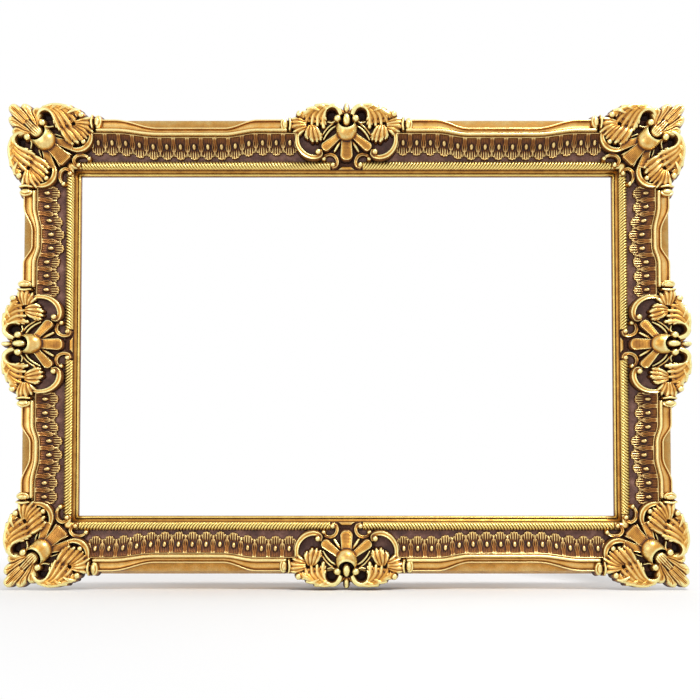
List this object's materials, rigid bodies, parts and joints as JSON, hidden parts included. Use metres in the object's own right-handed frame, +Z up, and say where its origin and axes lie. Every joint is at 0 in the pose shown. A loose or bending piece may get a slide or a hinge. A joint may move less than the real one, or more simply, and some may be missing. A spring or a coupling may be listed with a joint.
{
  "type": "ornate picture frame",
  "caption": "Wide gilded swept picture frame with leaf-and-bead frieze, gadroon sight moulding and scrolled acanthus cartouches, for hanging a picture or mirror.",
  "frame": {"origin": "middle of the sight opening, on the plane of the rails' flat backs, where the frame meets the wall", "axes": "+X to the right seen from the front, +Y towards the wall, +Z up; the front faces -Y"},
  "size_m": [1.1504, 0.0652, 0.8114],
  "materials": {
    "rail_wood": "bare at the back, bronzed gesso in front",
    "gilded_casting": "gilded cast composition with dark antique wash in the recesses",
    "gilded_rail": "burnished gilding",
    "gilded_frieze": "gilding under a brown antique wash",
    "gilded_gadroon": "bright gilding, brown in the grooves",
    "gilded_slip": "satin gilding",
    "plated_steel": "zinc plated",
    "brass_plate": "satin",
    "blued_steel": "blued",
    "felt": "felt"
  },
  "bodies": {
    "frame": {"centre_cartouche_bottom": "gilded_casting", "centre_cartouche_left": "gilded_casting", "centre_cartouche_right": "gilded_casting", "centre_cartouche_top": "gilded_casting", "corner_cartouche_bottom_left": "gilded_casting", "corner_cartouche_bottom_right": "gilded_casting", "corner_cartouche_top_left": "gilded_casting", "corner_cartouche_top_right": "gilded_casting", "gadroon_bottom_left": "gilded_gadroon", "gadroon_bottom_right": "gilded_gadroon", "gadroon_left_lower": "gilded_gadroon", "gadroon_left_upper": "gilded_gadroon", "gadroon_right_lower": "gilded_gadroon", "gadroon_right_upper": "gilded_gadroon", "gadroon_top_left": "gilded_gadroon", "gadroon_top_right": "gilded_gadroon", "hanger_screws": "plated_steel", "hanger_strap_left": "plated_steel", "hanger_strap_right": "plated_steel", "leaf_frieze_bottom_left": "gilded_frieze", "leaf_frieze_bottom_right": "gilded_frieze", "leaf_frieze_left_lower": "gilded_frieze", "leaf_frieze_left_upper": "gilded_frieze", "leaf_frieze_right_lower": "gilded_frieze", "leaf_frieze_right_upper": "gilded_frieze", "leaf_frieze_top_left": "gilded_frieze", "leaf_frieze_top_right": "gilded_frieze", "mitre_v_nails": "blued_steel", "rail_bottom": "rail_wood", "rail_left": "rail_wood", "rail_right": "rail_wood", "rail_top": "rail_wood", "sight_slip_bottom": "gilded_slip", "sight_slip_left": "gilded_slip", "sight_slip_right": "gilded_slip", "sight_slip_top": "gilded_slip", "swept_rail_bottom_left": "gilded_rail", "swept_rail_bottom_right": "gilded_rail", "swept_rail_left_lower": "gilded_rail", "swept_rail_left_upper": "gilded_rail", "swept_rail_right_lower": "gilded_rail", "swept_rail_right_upper": "gilded_rail", "swept_rail_top_left": "gilded_rail", "swept_rail_top_right": "gilded_rail", "turn_button_screws": "plated_steel", "wall_bumpers": "felt"},
    "hanger_ring_left": {"hanger_ring_left": "plated_steel"},
    "hanger_ring_right": {"hanger_ring_right": "plated_steel"},
    "turn_button_top_left": {"turn_button_top_left": "brass_plate"},
    "turn_button_top_right": {"turn_button_top_right": "brass_plate"},
    "turn_button_right": {"turn_button_right": "brass_plate"},
    "turn_button_bottom_right": {"turn_button_bottom_right": "brass_plate"},
    "turn_button_bottom_left": {"turn_button_bottom_left": "brass_plate"},
    "turn_button_left": {"turn_button_left": "brass_plate"}
  },
  "joints": [
    {"name": "hanger_ring_left_swing", "type": "hinge", "parent": "frame", "child": "hanger_ring_left", "pos_m": [-0.504, 0.0031, 0.095], "axis": [-1, 0, 0], "range_deg": [0, 178]},
    {"name": "hanger_ring_right_swing", "type": "hinge", "parent": "frame", "child": "hanger_ring_right", "pos_m": [0.504, 0.0031, 0.095], "axis": [-1, 0, 0], "range_deg": [0, 178]},
    {"name": "turn_button_top_left_turn", "type": "hinge", "parent": "frame", "child": "turn_button_top_left", "pos_m": [-0.226, 0.0009, 0.3105], "axis": [0, 1, 0], "continuous": true},
    {"name": "turn_button_top_right_turn", "type": "hinge", "parent": "frame", "child": "turn_button_top_right", "pos_m": [0.226, 0.0009, 0.3105], "axis": [0, 1, 0], "continuous": true},
    {"name": "turn_button_right_turn", "type": "hinge", "parent": "frame", "child": "turn_button_right", "pos_m": [0.474, 0.0009, 0], "axis": [0, 1, 0], "continuous": true},
    {"name": "turn_button_bottom_right_turn", "type": "hinge", "parent": "frame", "child": "turn_button_bottom_right", "pos_m": [0.226, 0.0009, -0.3105], "axis": [0, 1, 0], "continuous": true},
    {"name": "turn_button_bottom_left_turn", "type": "hinge", "parent": "frame", "child": "turn_button_bottom_left", "pos_m": [-0.226, 0.0009, -0.3105], "axis": [0, 1, 0], "continuous": true},
    {"name": "turn_button_left_turn", "type": "hinge", "parent": "frame", "child": "turn_button_left", "pos_m": [-0.474, 0.0009, 0], "axis": [0, 1, 0], "continuous": true}
  ]
}
